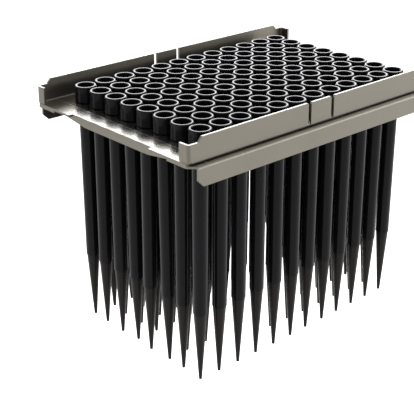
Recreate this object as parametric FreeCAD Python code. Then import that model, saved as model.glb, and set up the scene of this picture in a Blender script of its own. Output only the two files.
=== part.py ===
"""Sheet-metal tray with a grid of long pipette tips hanging through it.

Frame: X runs along the 12 columns (column 1 at -X), Y along the 8 rows (row A at +Y), +Z up.
The origin is the centre of the tip grid, on the underside of the lower frame's plate, which is
the face that rests on the rim of a carrier.  Millimetres.
"""
import FreeCAD, Part
import math
import os

from FreeCAD import Vector

# ---------------------------------------------------------------- driving dimensions

# the grid of places
PITCH = 9.0
COLUMNS = 12
ROWS = 8

# both folded sheets
UPPER_SHEET = 0.8
LOWER_SHEET = 0.8
END_MARGIN = 14.38            # from the outer columns' centres to the ends of the corner tabs
NOTCH_DEPTH = 3.6             # how far the deck's short edges step in between its corner tabs
NOTCH_WIDTH = 44.6

# upper tray: deck, two long walls, four corner ears
WALL_MARGIN = 10.5            # from the outer rows' centres to the outer faces of the long walls
WALL_HEIGHT = 8.2             # above the deck
WALL_BEND = 0.4               # inside radius where a wall rises from the deck
EAR_DROP = 1.8                # from the walls' tops down to the ears and the lowered wall ends
EAR_WIDTH = 4.5               # from the wall's outer face along the short edge
EAR_BEND = 0.5                # inside radius of the corner between wall and ear
EAR_GAP = 0.15                # between an ear and the deck below it
LOW_END_LENGTH = 4.3          # lowered part of a wall, from the corner to the foot of its slope
SLOPE_LENGTH = 1.7            # slope between the lowered end and the full height
SLOT_WIDTH = 1.4
TONGUE_WIDTH = 10.2           # between the two slots of a wall
TONGUE_OFFSET = -2.5          # the tongue's middle, from the middle of the wall
SLOT_FOOT = 0.2               # bottom of a slot, above the deck
SLOT_ROUND = 0.7              # rounding of the slots' upper corners

# lower frame: plate, two long skirts, two end lips
SKIRT_STEP = 1.7              # from a wall's outer face out to the face of the skirt below it
SKIRT_DEPTH = 6.5             # below the underside of the plate
SKIRT_BEND = 0.4              # inside radius where a skirt turns down
SKIRT_CHAMFER = 2.3           # lower corners of a skirt
CORNER_CHAMFER = 2.8          # plate corners between a short edge and a skirt
LIP_PROUD = 0.35              # an end lip's outer face, outside the deck's stepped-in edge
LIP_DEPTH = 2.7               # below the underside of the plate
LIP_FLAT = 35.2               # length of a lip's straight lower edge
LIP_LENGTH = 62.0             # a lip's whole length
LIP_END_DEPTH = 0.9           # a lip's lower edge at its ends
LIP_BEND = 0.4
BEND_RELIEF = 0.4             # between the ends of a bend and the edges beside it

# tip places
SEAT_WIDTH = 0.55             # how far a collar reaches over the edge of its hole
HOLE_STEP = 0.3               # how much wider the lower frame's holes are than the deck's

# tips
TIP_LENGTH = 95.0
COLLAR_GAP = 0.9              # between the collars of neighbouring tips
COLLAR_HEIGHT = 6.1
COLLAR_ROUND = 0.35           # edge rounding of the collar
COLLAR_UNDERCUT = 1.0         # height of the cone that joins the collar to the body
HANG_CLEARANCE = 0.55         # all round a tip's body in the deck's hole
BODY_TAPER = 0.6              # how much thinner the body is at its lower end
SHOULDER_STEP = 0.2           # from the body's lower end in to the top of the cone
CONE_LENGTH = 26.5
END_DIAMETER = 1.15
COLLAR_WALL = 1.1
BODY_WALL = 0.5
CONE_WALL = 0.45              # at the top of the cone
END_WALL = 0.225
SOCKET_MOUTH = 0.3            # chamfer at the top of the socket
SOCKET_FLOOR = 0.5            # from the collar's underside up to the ledge that stops a nozzle
SEAT_GAP = 0.05               # air under a collar that rests on the deck
LEAN = 0.45                   # degrees, the most that a tip hangs out of plumb
LEAN_STEP = 137.5078          # turn from one tip's lean to the next, degrees
LEAN_SPREAD = 0.7             # share of the lean that differs from tip to tip

# ---------------------------------------------------------------- what follows from them

PLATE_TOP = LOWER_SHEET
DECK_TOP = PLATE_TOP + UPPER_SHEET
ROOT_TOP = PLATE_TOP + WALL_BEND + UPPER_SHEET      # where the wall bends end
HALF_TAB = (COLUMNS - 1) * PITCH / 2 + END_MARGIN
HALF_DECK = HALF_TAB - NOTCH_DEPTH
HALF_NOTCH = NOTCH_WIDTH / 2
HALF_WALL = (ROWS - 1) * PITCH / 2 + WALL_MARGIN
HALF_SKIRT = HALF_WALL + SKIRT_STEP
HALF_LIP = LIP_LENGTH / 2
WALL_OUTER_BEND = WALL_BEND + UPPER_SHEET
EAR_OUTER_BEND = EAR_BEND + UPPER_SHEET
SKIRT_OUTER_BEND = SKIRT_BEND + LOWER_SHEET
LIP_OUTER_BEND = LIP_BEND + LOWER_SHEET
WALL_TOP = DECK_TOP + WALL_HEIGHT
EAR_TOP = WALL_TOP - EAR_DROP
EAR_FOOT = DECK_TOP + EAR_GAP
WALL_BEND_END = HALF_TAB - EAR_OUTER_BEND - BEND_RELIEF
HALF_SKIRT_LENGTH = HALF_TAB - CORNER_CHAMFER
LIP_FACE = HALF_DECK + LIP_PROUD
COLLAR_FOOT = DECK_TOP + SEAT_GAP
COLLAR_DIAMETER = PITCH - COLLAR_GAP
UPPER_HOLE = COLLAR_DIAMETER - 2 * SEAT_WIDTH
LOWER_HOLE = UPPER_HOLE + HOLE_STEP
BODY_TOP_DIAMETER = UPPER_HOLE - 2 * HANG_CLEARANCE
BODY_END_DIAMETER = BODY_TOP_DIAMETER - BODY_TAPER
CONE_TOP_DIAMETER = BODY_END_DIAMETER - 2 * SHOULDER_STEP
SOCKET_DIAMETER = COLLAR_DIAMETER - 2 * COLLAR_WALL
BODY_BORE_DIAMETER = BODY_TOP_DIAMETER - 2 * BODY_WALL
CONE_BORE_DIAMETER = CONE_TOP_DIAMETER - 2 * CONE_WALL
END_BORE_DIAMETER = END_DIAMETER - 2 * END_WALL
OVERCUT = 1.0                 # how far a cutting shape runs past what it cuts


def box(x, y, z):
    """A box from three (low, high) pairs."""
    size = [high - low for low, high in (x, y, z)]
    return Part.makeBox(size[0], size[1], size[2], Vector(x[0], y[0], z[0]))


def prism(points, thickness):
    """A flat outline pushed along the vector `thickness`."""
    corners = [Vector(*point) for point in points]
    wire = Part.makePolygon(corners + corners[:1])
    return Part.Face(wire).extrude(Vector(*thickness))


def edges_along(shape, direction, keep):
    """The straight edges of a shape that run along an axis, all or those that `keep` takes."""
    axis = Vector(*direction)
    found = []
    for edge in shape.Edges:
        start, end = edge.Vertexes[0].Point, edge.Vertexes[-1].Point
        run = end - start
        if run.Length > 0 and abs(run.normalize().dot(axis)) > 0.999:
            if keep is None or keep((start + end) * 0.5):
                found.append(edge)
    return found


def rounded_box(x, y, z, radius, direction, keep=None):
    """A box with the edges along one axis rounded; `keep` may pick them by their middle."""
    shape = box(x, y, z)
    return shape.makeFillet(radius, edges_along(shape, direction, keep))


def places():
    """Column, row and centre of each tip place; both count from 1, and row 1 is row A."""
    for column in range(1, COLUMNS + 1):
        for row in range(1, ROWS + 1):
            x = (column - (COLUMNS + 1) / 2) * PITCH
            y = ((ROWS + 1) / 2 - row) * PITCH
            yield column, row, x, y


def hole_cutters(diameter, low, high):
    """The cylinders that make the grid of round holes through a plate."""
    height = high - low + 2 * OVERCUT
    radius = diameter / 2
    return [Part.makeCylinder(radius, height, Vector(x, y, low - OVERCUT))
            for _, _, x, y in places()]


# ---------------------------------------------------------------- upper tray

def deck():
    """Flat deck with a tab at each corner, ending where the wall bends start."""
    edge = HALF_WALL - WALL_OUTER_BEND
    quarter = [(HALF_DECK, HALF_NOTCH), (HALF_TAB, HALF_NOTCH), (HALF_TAB, edge)]
    outline = quarter + [(-x, y) for x, y in reversed(quarter)]
    outline += [(-x, -y) for x, y in quarter] + [(x, -y) for x, y in reversed(quarter)]
    return prism([(x, y, PLATE_TOP) for x, y in outline], (0, 0, UPPER_SHEET))


def wall_roots():
    """The two bends that turn the deck up into the long walls, as one shallow channel."""
    top = ROOT_TOP + UPPER_SHEET
    span = (-WALL_BEND_END, WALL_BEND_END)
    inner = HALF_WALL - UPPER_SHEET
    outside = rounded_box(span, (-HALF_WALL, HALF_WALL), (PLATE_TOP, top), WALL_OUTER_BEND,
                          (1, 0, 0), lambda middle: middle.z < PLATE_TOP + UPPER_SHEET / 2)
    inside = rounded_box((span[0] - OVERCUT, span[1] + OVERCUT), (-inner, inner),
                         (DECK_TOP, top + OVERCUT), WALL_BEND,
                         (1, 0, 0), lambda middle: middle.z < DECK_TOP + UPPER_SHEET / 2)
    return outside.cut(inside)


def wall_profile():
    """Side view of a wall above its bend: full height, sloped down to a lower end with its ear."""
    relief = WALL_BEND_END + BEND_RELIEF
    foot = HALF_TAB - LOW_END_LENGTH
    head = foot - SLOPE_LENGTH
    right = [(relief, ROOT_TOP), (relief, EAR_FOOT), (HALF_TAB, EAR_FOOT), (HALF_TAB, EAR_TOP),
             (foot, EAR_TOP), (head, WALL_TOP)]
    outline = right + [(-x, z) for x, z in reversed(right)]
    points = [(x, -HALF_WALL - OVERCUT, z) for x, z in outline]
    return prism(points, (0, 2 * (HALF_WALL + OVERCUT), 0))


def wall_ring():
    """Both long walls with their ears, bent round the vertical corners."""
    height = (EAR_FOOT, WALL_TOP)
    inner_x = HALF_TAB - UPPER_SHEET
    inner_y = HALF_WALL - UPPER_SHEET
    outside = rounded_box((-HALF_TAB, HALF_TAB), (-HALF_WALL, HALF_WALL), height,
                          EAR_OUTER_BEND, (0, 0, 1))
    inside = rounded_box((-inner_x, inner_x), (-inner_y, inner_y),
                         (height[0] - OVERCUT, height[1] + OVERCUT), EAR_BEND, (0, 0, 1))
    gap = HALF_WALL - EAR_WIDTH
    doorway = box((-HALF_TAB - OVERCUT, HALF_TAB + OVERCUT), (-gap, gap),
                  (height[0] - OVERCUT, height[1] + OVERCUT))
    return outside.cut([inside, doorway]).common(wall_profile())


def slots():
    """Cutting shapes for the two slots of each wall, with rounded upper corners."""
    cutters = []
    low, high = DECK_TOP + SLOT_FOOT, WALL_TOP + OVERCUT
    for side in (-1, 1):
        near = side * (HALF_WALL - UPPER_SHEET - OVERCUT)
        far = side * (HALF_WALL + OVERCUT)
        across = (min(near, far), max(near, far))
        for end in (-1, 1):
            middle = TONGUE_OFFSET + end * (TONGUE_WIDTH + SLOT_WIDTH) / 2
            reach = SLOT_WIDTH / 2
            cutters.append(box((middle - reach, middle + reach), across, (low, high)))
            for hand in (-1, 1):
                cutters.append(slot_flare(middle + hand * reach, hand, across))
    return cutters


def slot_flare(x, hand, across):
    """What a rounded upper corner leaves away beside a slot edge at x."""
    size = SLOT_ROUND
    low_x, high_x = min(x, x + hand * size), max(x, x + hand * size)
    block = box((low_x, high_x), across, (WALL_TOP - size, WALL_TOP + OVERCUT))
    length = across[1] - across[0]
    centre = Vector(x + hand * size, across[0], WALL_TOP - size)
    return block.cut(Part.makeCylinder(size, length, centre, Vector(0, 1, 0)))


def make_upper_tray():
    """One folded sheet: deck with 96 holes, two long walls and four ears."""
    body = deck().fuse([wall_roots(), wall_ring()]).removeSplitter()
    cutters = slots() + hole_cutters(UPPER_HOLE, PLATE_TOP, DECK_TOP)
    return body.cut(cutters).removeSplitter()


# ---------------------------------------------------------------- lower frame

def plate():
    """Flat plate with corner tabs and chamfered corners, under the deck."""
    edge = HALF_SKIRT - CORNER_CHAMFER
    land = LIP_FACE - LIP_OUTER_BEND
    notch = HALF_LIP + BEND_RELIEF
    quarter = [(land, notch), (HALF_TAB, notch), (HALF_TAB, edge),
               (HALF_SKIRT_LENGTH, HALF_SKIRT), (HALF_SKIRT_LENGTH, edge)]
    outline = quarter + [(-x, y) for x, y in reversed(quarter)]
    outline += [(-x, -y) for x, y in quarter] + [(x, -y) for x, y in reversed(quarter)]
    return prism([(x, y, 0) for x, y in outline], (0, 0, LOWER_SHEET))


def skirts():
    """The two long skirts, each with its bend and a strip of the plate beside it."""
    span = (-HALF_SKIRT_LENGTH, HALF_SKIRT_LENGTH)
    inner = HALF_SKIRT - LOWER_SHEET
    outside = rounded_box(span, (-HALF_SKIRT, HALF_SKIRT), (-SKIRT_DEPTH, PLATE_TOP),
                          SKIRT_OUTER_BEND, (1, 0, 0), lambda middle: middle.z > 0)
    inside = rounded_box((span[0] - OVERCUT, span[1] + OVERCUT), (-inner, inner),
                         (-SKIRT_DEPTH - OVERCUT, 0), SKIRT_BEND,
                         (1, 0, 0), lambda middle: middle.z > -SKIRT_DEPTH / 2)
    strip = HALF_SKIRT - CORNER_CHAMFER - OVERCUT
    between = box((span[0] - OVERCUT, span[1] + OVERCUT), (-strip, strip),
                  (-SKIRT_DEPTH - OVERCUT, PLATE_TOP + OVERCUT))
    corner = SKIRT_CHAMFER
    cutters = [inside, between]
    for end in (-1, 1):
        x = end * HALF_SKIRT_LENGTH
        points = [(x, -SKIRT_DEPTH), (x - end * corner, -SKIRT_DEPTH), (x, corner - SKIRT_DEPTH)]
        wedge = [(px, -HALF_SKIRT - OVERCUT, pz) for px, pz in points]
        cutters.append(prism(wedge, (0, 2 * (HALF_SKIRT + OVERCUT), 0)))
    return outside.cut(cutters)


def end_lips():
    """The two end lips with their bends and the plate between, as one inverted channel."""
    inner = LIP_FACE - LOWER_SHEET
    outside = rounded_box((-LIP_FACE, LIP_FACE), (-HALF_LIP, HALF_LIP), (-LIP_DEPTH, PLATE_TOP),
                          LIP_OUTER_BEND, (0, 1, 0), lambda middle: middle.z > 0)
    inside = rounded_box((-inner, inner), (-HALF_LIP - OVERCUT, HALF_LIP + OVERCUT),
                         (-LIP_DEPTH - OVERCUT, 0), LIP_BEND,
                         (0, 1, 0), lambda middle: middle.z > -LIP_DEPTH / 2)
    cutters = [inside]
    for side in (-1, 1):
        outline = [(HALF_LIP, -LIP_END_DEPTH), (HALF_LIP, -LIP_DEPTH), (LIP_FLAT / 2, -LIP_DEPTH)]
        points = [(-LIP_FACE - OVERCUT, side * y, z) for y, z in outline]
        cutters.append(prism(points, (2 * (LIP_FACE + OVERCUT), 0, 0)))
    return outside.cut(cutters)


def make_lower_frame():
    """One folded sheet: plate with 96 clearance holes, two skirts and two end lips."""
    body = plate().fuse([skirts(), end_lips()]).removeSplitter()
    return body.cut(hole_cutters(LOWER_HOLE, 0, PLATE_TOP)).removeSplitter()


# ---------------------------------------------------------------- tips

def tip_outside():
    """Half outline of a tip's outside, from the rim down, as (radius, height) pairs."""
    top = COLLAR_HEIGHT
    collar = COLLAR_DIAMETER / 2
    shoulder = top - TIP_LENGTH + CONE_LENGTH
    step = (BODY_END_DIAMETER - CONE_TOP_DIAMETER) / 2
    return [(collar - COLLAR_ROUND, top), (collar, top - COLLAR_ROUND), (collar, COLLAR_ROUND),
            (collar - COLLAR_ROUND, 0), (BODY_TOP_DIAMETER / 2, 0),
            (BODY_TOP_DIAMETER / 2, -COLLAR_UNDERCUT),
            (BODY_END_DIAMETER / 2, shoulder + step), (CONE_TOP_DIAMETER / 2, shoulder),
            (END_DIAMETER / 2, top - TIP_LENGTH)]


def tip_inside():
    """Half outline of a tip's bore, from the end up to the rim."""
    top = COLLAR_HEIGHT
    shoulder = top - TIP_LENGTH + CONE_LENGTH
    ledge = (SOCKET_DIAMETER - BODY_BORE_DIAMETER) / 2
    return [(END_BORE_DIAMETER / 2, top - TIP_LENGTH), (CONE_BORE_DIAMETER / 2, shoulder),
            (BODY_BORE_DIAMETER / 2, SOCKET_FLOOR - ledge),
            (SOCKET_DIAMETER / 2, SOCKET_FLOOR),
            (SOCKET_DIAMETER / 2, top - SOCKET_MOUTH),
            (SOCKET_DIAMETER / 2 + SOCKET_MOUTH, top)]


def plumb_tip():
    """One upright tip with the middle of its collar's underside at the origin."""
    outline = [Vector(radius, 0, height) for radius, height in tip_outside() + tip_inside()]
    wire = Part.makePolygon(outline + outline[:1])
    return Part.Face(wire).revolve(Vector(), Vector(0, 0, 1), 360)


def tip_lean(column, row):
    """How far a tip leans and the way it leans, both in degrees."""
    number = (column - 1) * ROWS + row
    direction = number * LEAN_STEP % 360
    share = 1 - LEAN_SPREAD * (0.5 + 0.5 * math.sin(number * number))
    return LEAN * share, direction


def place_tip(tip, column, row, x, y):
    """A copy of the tip hung in its place, tilted and turned a little as loose tips are."""
    angle, direction = tip_lean(column, row)
    hung = tip.copy()
    hung.rotate(Vector(), Vector(0, 1, 0), angle)
    hung.rotate(Vector(), Vector(0, 0, 1), direction)
    hung.translate(Vector(x, y, COLLAR_FOOT))
    return hung


def make_tips():
    """Column 1 as eight single tips, and each further column as one group of eight."""
    tip = plumb_tip()
    nodes = {}
    for column, row, x, y in places():
        letter = chr(ord("a") + row - 1)
        name = "tip_%s1" % letter if column == 1 else "tips_column_%d" % column
        nodes.setdefault(name, []).append(place_tip(tip, column, row, x, y))
    return {name: solids[0] if len(solids) == 1 else Part.makeCompound(solids)
            for name, solids in nodes.items()}


def main():
    os.makedirs("parts", exist_ok=True)
    nodes = {"upper_tray": make_upper_tray(), "lower_frame": make_lower_frame()}
    nodes.update(make_tips())
    for name, shape in nodes.items():
        shape.exportStep("parts/%s.step" % name)
        size = shape.BoundBox
        print("%-16s %2d solids  %7.2f x %6.2f x %6.2f  volume %9.2f  valid %s" % (
            name, len(shape.Solids), size.XLength, size.YLength, size.ZLength,
            shape.Volume, shape.isValid()))


main()
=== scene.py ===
# %% [markdown]
# # A steel tray of pipette tips
# The object is a folded stainless tray that carries ninety-six long black plastic tips, hung by
# their collars in a grid of round holes.  Its shapes come ready from a CAD model, already at
# their real size, so this lesson is about finishes and light: how bright sheet metal, satin
# sheet metal and carbon-filled plastic are told apart by what they reflect.
# The first cell loads the model.  Every node arrives as a mesh in metres, with +Z up.

# %% load the model
import math

import bpy
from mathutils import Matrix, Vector


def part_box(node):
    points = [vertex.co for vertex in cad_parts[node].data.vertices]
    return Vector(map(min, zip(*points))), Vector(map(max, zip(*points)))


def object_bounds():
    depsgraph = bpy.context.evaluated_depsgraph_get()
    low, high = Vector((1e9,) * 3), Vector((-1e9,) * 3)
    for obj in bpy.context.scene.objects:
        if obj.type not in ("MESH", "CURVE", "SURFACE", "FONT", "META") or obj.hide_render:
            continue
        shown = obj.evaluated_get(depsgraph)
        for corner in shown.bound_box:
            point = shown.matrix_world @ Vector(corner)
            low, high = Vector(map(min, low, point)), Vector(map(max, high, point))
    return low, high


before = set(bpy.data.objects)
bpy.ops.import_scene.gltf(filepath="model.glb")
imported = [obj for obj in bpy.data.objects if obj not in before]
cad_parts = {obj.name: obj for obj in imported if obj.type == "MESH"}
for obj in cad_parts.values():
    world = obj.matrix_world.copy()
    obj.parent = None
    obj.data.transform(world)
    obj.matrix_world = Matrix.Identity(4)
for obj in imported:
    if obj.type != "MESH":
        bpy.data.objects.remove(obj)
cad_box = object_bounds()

# %% [markdown]
# ## Sums on surfaces
# A finish is a small calculation that runs at each point of a surface.  Blender draws it as a
# graph of nodes, which could be wired one link at a time.  It reads better as a sum, so this
# class wraps one output socket and gives it Python's arithmetic.  Numbers go through Math nodes.
# Colours and directions go through Vector Math, because a Math node would turn a colour grey.

# %% a socket that can do sums
class Flow:
    """One output of a node, or a sum of such outputs."""

    def __init__(self, finish, socket):
        self.finish = finish
        self.socket = socket

    def _sum(self, operation, first, second):
        flows = [term for term in (first, second) if isinstance(term, Flow)]
        wide = any(term.socket.type in ("VECTOR", "RGBA") for term in flows)
        kind = "ShaderNodeVectorMath" if wide else "ShaderNodeMath"
        return self.finish.add(kind, {"operation": operation}, {0: first, 1: second})

    def __add__(self, other):
        return self._sum("ADD", self, other)

    def __sub__(self, other):
        return self._sum("SUBTRACT", self, other)

    def __rsub__(self, other):
        return self._sum("SUBTRACT", other, self)

    def __mul__(self, other):
        return self._sum("MULTIPLY", self, other)

    def __truediv__(self, other):
        return self._sum("DIVIDE", self, other)

    __radd__ = __add__
    __rmul__ = __mul__


# %% [markdown]
# ## A material with one way to add nodes
# Every other node comes from one method.  It takes the node's type, then its settings, such as
# a ramp's stops, and then what goes into its sockets, either plain values or flows.  Settings go
# first because some of them change which sockets a node has.

# %% a material that adds its own nodes
class Finish:
    """A node material, with helpers named after what they do to a surface."""

    def __init__(self, name):
        self.material = bpy.data.materials.new(name)
        self.material.use_nodes = True
        self.tree = self.material.node_tree
        self.shader = self.tree.nodes["Principled BSDF"]

    def add(self, kind, settings=None, inputs=None, output=0):
        node = self.tree.nodes.new(kind)
        for key, value in (settings or {}).items():
            if key == "stops":
                self._set_stops(node.color_ramp, value)
            else:
                setattr(node, key, value)
        for key, value in (inputs or {}).items():
            self._feed(node.inputs[key], value)
        return Flow(self, node.outputs[output])

    def _set_stops(self, ramp, stops):
        while len(ramp.elements) < len(stops):
            ramp.elements.new(1.0)
        for element, (position, level) in zip(ramp.elements, stops):
            element.position = position
            element.color = (level, level, level, 1) if isinstance(level, float) else (*level, 1)

    def _feed(self, socket, value):
        if isinstance(value, Flow):
            self.tree.links.new(value.socket, socket)
        elif socket.type == "RGBA" and len(value) == 3:
            socket.default_value = (*value, 1)
        elif socket.type == "VECTOR" and isinstance(value, (int, float)):
            socket.default_value = (value, value, value)
        else:
            socket.default_value = value

    def set(self, **inputs):
        """Feeds the shader: Base_Color=..., Roughness=... and so on."""
        for key, value in inputs.items():
            self._feed(self.shader.inputs[key.replace("_", " ")], value)

    def place(self):
        """Where the point is on the object, in metres, whatever pose it is in."""
        return self.add("ShaderNodeTexCoord", output="Object")

    def facing(self):
        """Which way the surface faces there, in the object's own directions."""
        return self.add("ShaderNodeTexCoord", output="Normal")

    def part(self, vector, axis):
        """One of the three numbers of a vector."""
        return self.add("ShaderNodeSeparateXYZ", inputs={0: vector}, output=axis)

    def noise(self, vector, scale, detail=2.0, roughness=0.5):
        settings = {"noise_dimensions": "3D"}
        values = {"Vector": vector, "Scale": scale, "Detail": detail, "Roughness": roughness}
        return self.add("ShaderNodeTexNoise", settings, values)

    def ramp(self, value, low, high, start=0.0, end=1.0):
        """Runs smoothly from start to end as value goes from low to high."""
        inputs = {0: value, 1: low, 2: high, 3: start, 4: end}
        return self.add("ShaderNodeMapRange", {"interpolation_type": "SMOOTHSTEP"}, inputs)

    def mix(self, share, first, second):
        """The first colour where share is 0, the second where it is 1."""
        return self.add("ShaderNodeMix", {"data_type": "RGBA"}, {0: share, 6: first, 7: second}, 2)

    def bump(self, height, strength, distance):
        inputs = {"Height": height, "Strength": strength, "Distance": distance}
        return self.add("ShaderNodeBump", inputs=inputs)


# %% [markdown]
# ## Sheet steel
# Both sheets are cut from the same stainless coil.  Its rolled face is smooth enough to mirror
# whatever stands on it, but the rolls leave a fine grain along the sheet, and hands leave faint
# cloudy patches.  A sheared edge is rougher than the face beside it.  Faces that look up, the deck
# and the top cut edges, are painted much paler than the upright faces: a painted highlight of the
# light above them, and painted shade on the upright faces.  Next to each short edge the press
# brake has left one thin bright line across the deck.
# All of this could be painted in an image, but sums on the position stay sharp at any distance.

# %% sizes the steel needs, read from the model
tray_low, tray_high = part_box("upper_tray")
frame_low, frame_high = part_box("lower_frame")
MM = 0.001
UPPER_SHEET = 0.8 * MM
DECK_TOP = frame_high.z + UPPER_SHEET
HALF_TRAY = tray_high.x
BRAKE_LINE_INSET = 7.4 * MM
BRAKE_LINE_WIDTH = 0.25 * MM
print("deck top at", round(DECK_TOP / MM, 2), "mm, tray is", round(2 * HALF_TRAY / MM, 1), "mm long")


# %% grain, clouds and edges
def make_sheet_steel():
    steel = Finish("satin_stainless_sheet")
    place = steel.place()
    facing = steel.facing()
    up = steel.part(facing, "Z")
    height = steel.part(place, "Z")

    stretched = steel.add("ShaderNodeMapping", inputs={"Vector": place, "Scale": (0.05, 1.0, 1.0)})
    grain = steel.noise(stretched, 4200.0, 2.0, 0.6)
    clouds = steel.noise(place, 55.0, 3.0, 0.55)
    specks = steel.noise(place, 900.0, 1.0, 0.5)

    level = steel.ramp(up, 0.9, 0.98)
    above_deck = steel.ramp(height, DECK_TOP + 0.5 * MM, DECK_TOP + 0.9 * MM)
    cut_edge = level * above_deck
    deck = level * (1 - above_deck)

    length = steel.add("ShaderNodeMath", {"operation": "ABSOLUTE"}, {0: steel.part(place, "X")})
    off_line = steel.add("ShaderNodeMath", {"operation": "ABSOLUTE"},
                         {0: length - (HALF_TRAY - BRAKE_LINE_INSET)})
    brake_line = deck * steel.ramp(off_line, 0.0, BRAKE_LINE_WIDTH, 1.0, 0.0)

    # Upright faces get a dark colour, which is painted shade, and the level deck gets a much paler
    # one, a painted highlight of the light above; the clouds between the two greys are real handling
    # marks.
    face = steel.mix(clouds, (0.138, 0.127, 0.107), (0.155, 0.144, 0.121))
    bright = steel.mix(deck, face, (0.36, 0.35, 0.325))
    # Cut faces that look up are painted paler, a painted highlight of the light above; the brake
    # line on the deck is mixed towards the same colour.
    pale = steel.mix(steel.ramp(cut_edge + brake_line * 0.6, 0.0, 1.0), bright, (0.34, 0.33, 0.31))
    steel.set(Base_Color=pale, Metallic=1.0)

    satin = 0.40 + 0.10 * (clouds - 0.5) + 0.05 * (grain - 0.5)
    polish = 0.23 + 0.06 * (clouds - 0.5) + 0.03 * (specks - 0.5)
    smooth = satin * (1 - deck) + polish * deck
    steel.set(Roughness=smooth + cut_edge * 0.12 + brake_line * 0.2)
    steel.set(Normal=steel.bump(grain * (1 - deck * 0.7), 0.12, 0.00002))
    return steel.material


sheet_steel = make_sheet_steel()
print("steel nodes:", len(sheet_steel.node_tree.nodes))

# %% [markdown]
# ## Rounding the edges
# A real sheared or laser-cut edge is never perfectly sharp, and the bright line of light that
# runs along it is what makes sheet metal look like metal.  The CAD mesh has sharp edges and
# doubled points, so the points are welded, and a narrow bevel rounds each sharp edge.  A bevel
# modifier leaves the CAD mesh itself as it was.

# %% a narrow bevel on both sheets
EDGE_ROUND = 0.12 * MM


def round_edges(node):
    weld = node.modifiers.new("weld", "WELD")
    weld.merge_threshold = 0.002 * MM
    bevel = node.modifiers.new("edge_round", "BEVEL")
    bevel.width = EDGE_ROUND
    bevel.segments = 2
    bevel.limit_method = "ANGLE"
    bevel.angle_limit = math.radians(50)
    bevel.harden_normals = False
    normals = node.modifiers.new("even_shading", "WEIGHTED_NORMAL")
    normals.keep_sharp = True


def paint(node, material):
    node.data.materials.clear()
    node.data.materials.append(material)


for name in ("upper_tray", "lower_frame"):
    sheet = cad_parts[name]
    round_edges(sheet)
    paint(sheet, sheet_steel)
    print(name, "has", len(sheet.data.polygons), "faces before rounding")

# %% [markdown]
# ## Tip plastic
# The tips are moulded in polypropylene filled with carbon, so that a robot can feel liquid
# through them.  The filler makes them black right through, with a soft gloss.  The plastic flows
# down the mould from the collar, which leaves faint streaks along each tip, and the narrow cone
# below the step comes out a little duller and warmer than the body.

# %% streaks along each tip
tip_low, tip_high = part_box("tips_column_6")
TIP_LENGTH = tip_high.z - tip_low.z
CONE_TOP = tip_low.z + 0.28 * TIP_LENGTH


def make_tip_plastic():
    plastic = Finish("carbon_filled_polypropylene")
    place = plastic.place()
    height = plastic.part(place, "Z")
    drawn_out = plastic.add("ShaderNodeMapping", inputs={"Vector": place, "Scale": (1, 1, 0.02)})
    streaks = plastic.noise(drawn_out, 2200.0, 2.0, 0.6)
    mottle = plastic.noise(place, 260.0, 3.0, 0.6)
    dust = plastic.ramp(plastic.noise(place, 1500.0, 2.0, 0.7), 0.68, 0.8)
    cone = plastic.ramp(height, CONE_TOP - 1 * MM, CONE_TOP, 1.0, 0.0)

    body = plastic.mix(mottle, (0.0025, 0.0025, 0.0032), (0.0045, 0.0045, 0.0055))
    warm = plastic.mix(cone, body, (0.009, 0.0075, 0.0065))
    plastic.set(Base_Color=plastic.mix(dust * 0.35, warm, (0.10, 0.095, 0.09)))
    rough = 0.13 + 0.08 * (streaks - 0.5) + 0.08 * (mottle - 0.5)
    plastic.set(Roughness=rough + cone * 0.10, IOR=1.2)
    plastic.set(Normal=plastic.bump(streaks, 0.10, 0.00002))
    return plastic.material


tip_plastic = make_tip_plastic()
for name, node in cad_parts.items():
    if name.startswith("tip"):
        paint(node, tip_plastic)
print("tips painted:", sum(name.startswith("tip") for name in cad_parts))

# %% [markdown]
# ## Floor
# The tray is held by its rim, so its tips hang free above the table.  A wide, plain, pale table
# fills the whole picture behind and below it.  A little glow in its surface, like that of a
# light table, keeps the shadow under the tips faint.

# %% a pale table
FLOOR_DROP = 200 * MM
FLOOR_REACH = 4.0


def make_floor():
    finish = Finish("pale_table")
    mottle = finish.noise(finish.place(), 30.0, 3.0)
    finish.set(Base_Color=finish.mix(mottle, (0.80, 0.80, 0.80), (0.83, 0.83, 0.83)))
    finish.set(Roughness=0.7, Emission_Color=(1.0, 1.0, 1.0), Emission_Strength=0.3)
    level = cad_box[0].z - FLOOR_DROP
    mesh = bpy.data.meshes.new("floor")
    corners = [(-1, -1), (1, -1), (1, 1), (-1, 1)]
    points = [(x * FLOOR_REACH, y * FLOOR_REACH, level) for x, y in corners]
    mesh.from_pydata(points, [], [(0, 1, 2, 3)])
    mesh.materials.append(finish.material)
    floor = bpy.data.objects.new("floor", mesh)
    bpy.context.scene.collection.objects.link(floor)
    return floor


floor = make_floor()
print("floor is", round(FLOOR_DROP / MM), "mm below the tips")

# %% [markdown]
# ## Light
# Bright metal shows its surroundings, so the lights are shaped for what they look like in the
# steel.  One large soft box hangs high behind the tray: the level deck and the rims of the tips
# mirror it, and turn white.  Two tall boxes at the sides draw the pale lines down the edges of
# the tips.  A low wide box in front reaches over the near wall and lights the inside of the far
# one.  The sky is an even white, like the walls of a light tent, so that nothing goes fully dark.

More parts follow.
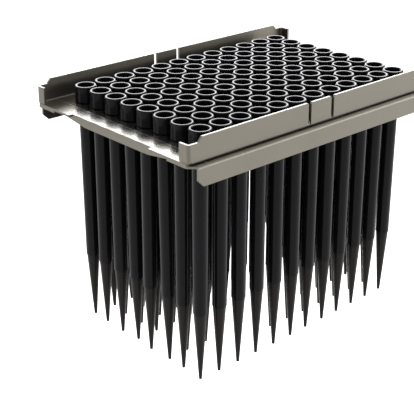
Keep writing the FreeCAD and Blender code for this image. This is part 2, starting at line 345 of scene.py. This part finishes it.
# %% soft boxes and sky
def soft_box(name, azimuth, elevation, distance, width, height, power):
    """A lit rectangle that faces the tray.  Azimuth 0 stands at -Y, and 90 at +X."""
    turn, rise = math.radians(azimuth), math.radians(elevation)
    toward = Vector((math.sin(turn) * math.cos(rise), -math.cos(turn) * math.cos(rise),
                     math.sin(rise)))
    light = bpy.data.lights.new(name, "AREA")
    light.shape = "RECTANGLE"
    light.size, light.size_y = width, height
    light.energy = power
    lamp = bpy.data.objects.new(name, light)
    lamp.location = toward * distance
    lamp.rotation_mode = "QUATERNION"
    lamp.rotation_quaternion = toward.to_track_quat("Z", "Y")
    lamp.visible_camera = False
    bpy.context.scene.collection.objects.link(lamp)
    return lamp


soft_box("back_box", 140, 26, 0.9, 0.9, 0.45, 10)
soft_box("left_box", -115, 15, 0.9, 0.35, 0.9, 3)
soft_box("right_box", 70, 15, 0.9, 0.25, 0.9, 2)
soft_box("front_box", 42, 6, 0.9, 0.8, 0.3, 4)

# %% the sky
world = bpy.data.worlds.new("studio")
world.use_nodes = True
sky = world.node_tree.nodes["Background"]
sky.inputs["Color"].default_value = (1.0, 1.0, 1.0, 1)
sky.inputs["Strength"].default_value = 1.0
bpy.context.scene.world = world
bpy.context.scene.view_settings.view_transform = "Standard"

# %% [markdown]
# ## Camera
# The camera looks along the diagonal of the tray, from the corner where row H meets column 1,
# and from about 21 degrees above it, with a long lens that keeps the rows nearly parallel.

# %% a long lens on the corner
camera_data = bpy.data.cameras.new("camera")
camera_data.lens = 92.9
camera_data.sensor_width = 36.0
camera_data.shift_y = -0.12
camera_data.clip_start = 0.01
camera = bpy.data.objects.new("camera", camera_data)
CAMERA_AZIMUTH = math.radians(-42.07)
CAMERA_ELEVATION = math.radians(21.01)
back = Vector((math.sin(CAMERA_AZIMUTH) * math.cos(CAMERA_ELEVATION),
               -math.cos(CAMERA_AZIMUTH) * math.cos(CAMERA_ELEVATION),
               math.sin(CAMERA_ELEVATION)))
camera.location = Vector((-267.1, -275.9, 125.6)) * MM
camera.rotation_mode = "QUATERNION"
camera.rotation_quaternion = (-back).to_track_quat("-Z", "Y")
bpy.context.scene.collection.objects.link(camera)
bpy.context.scene.camera = camera
print("camera is", round(camera.location.length / MM), "mm away")
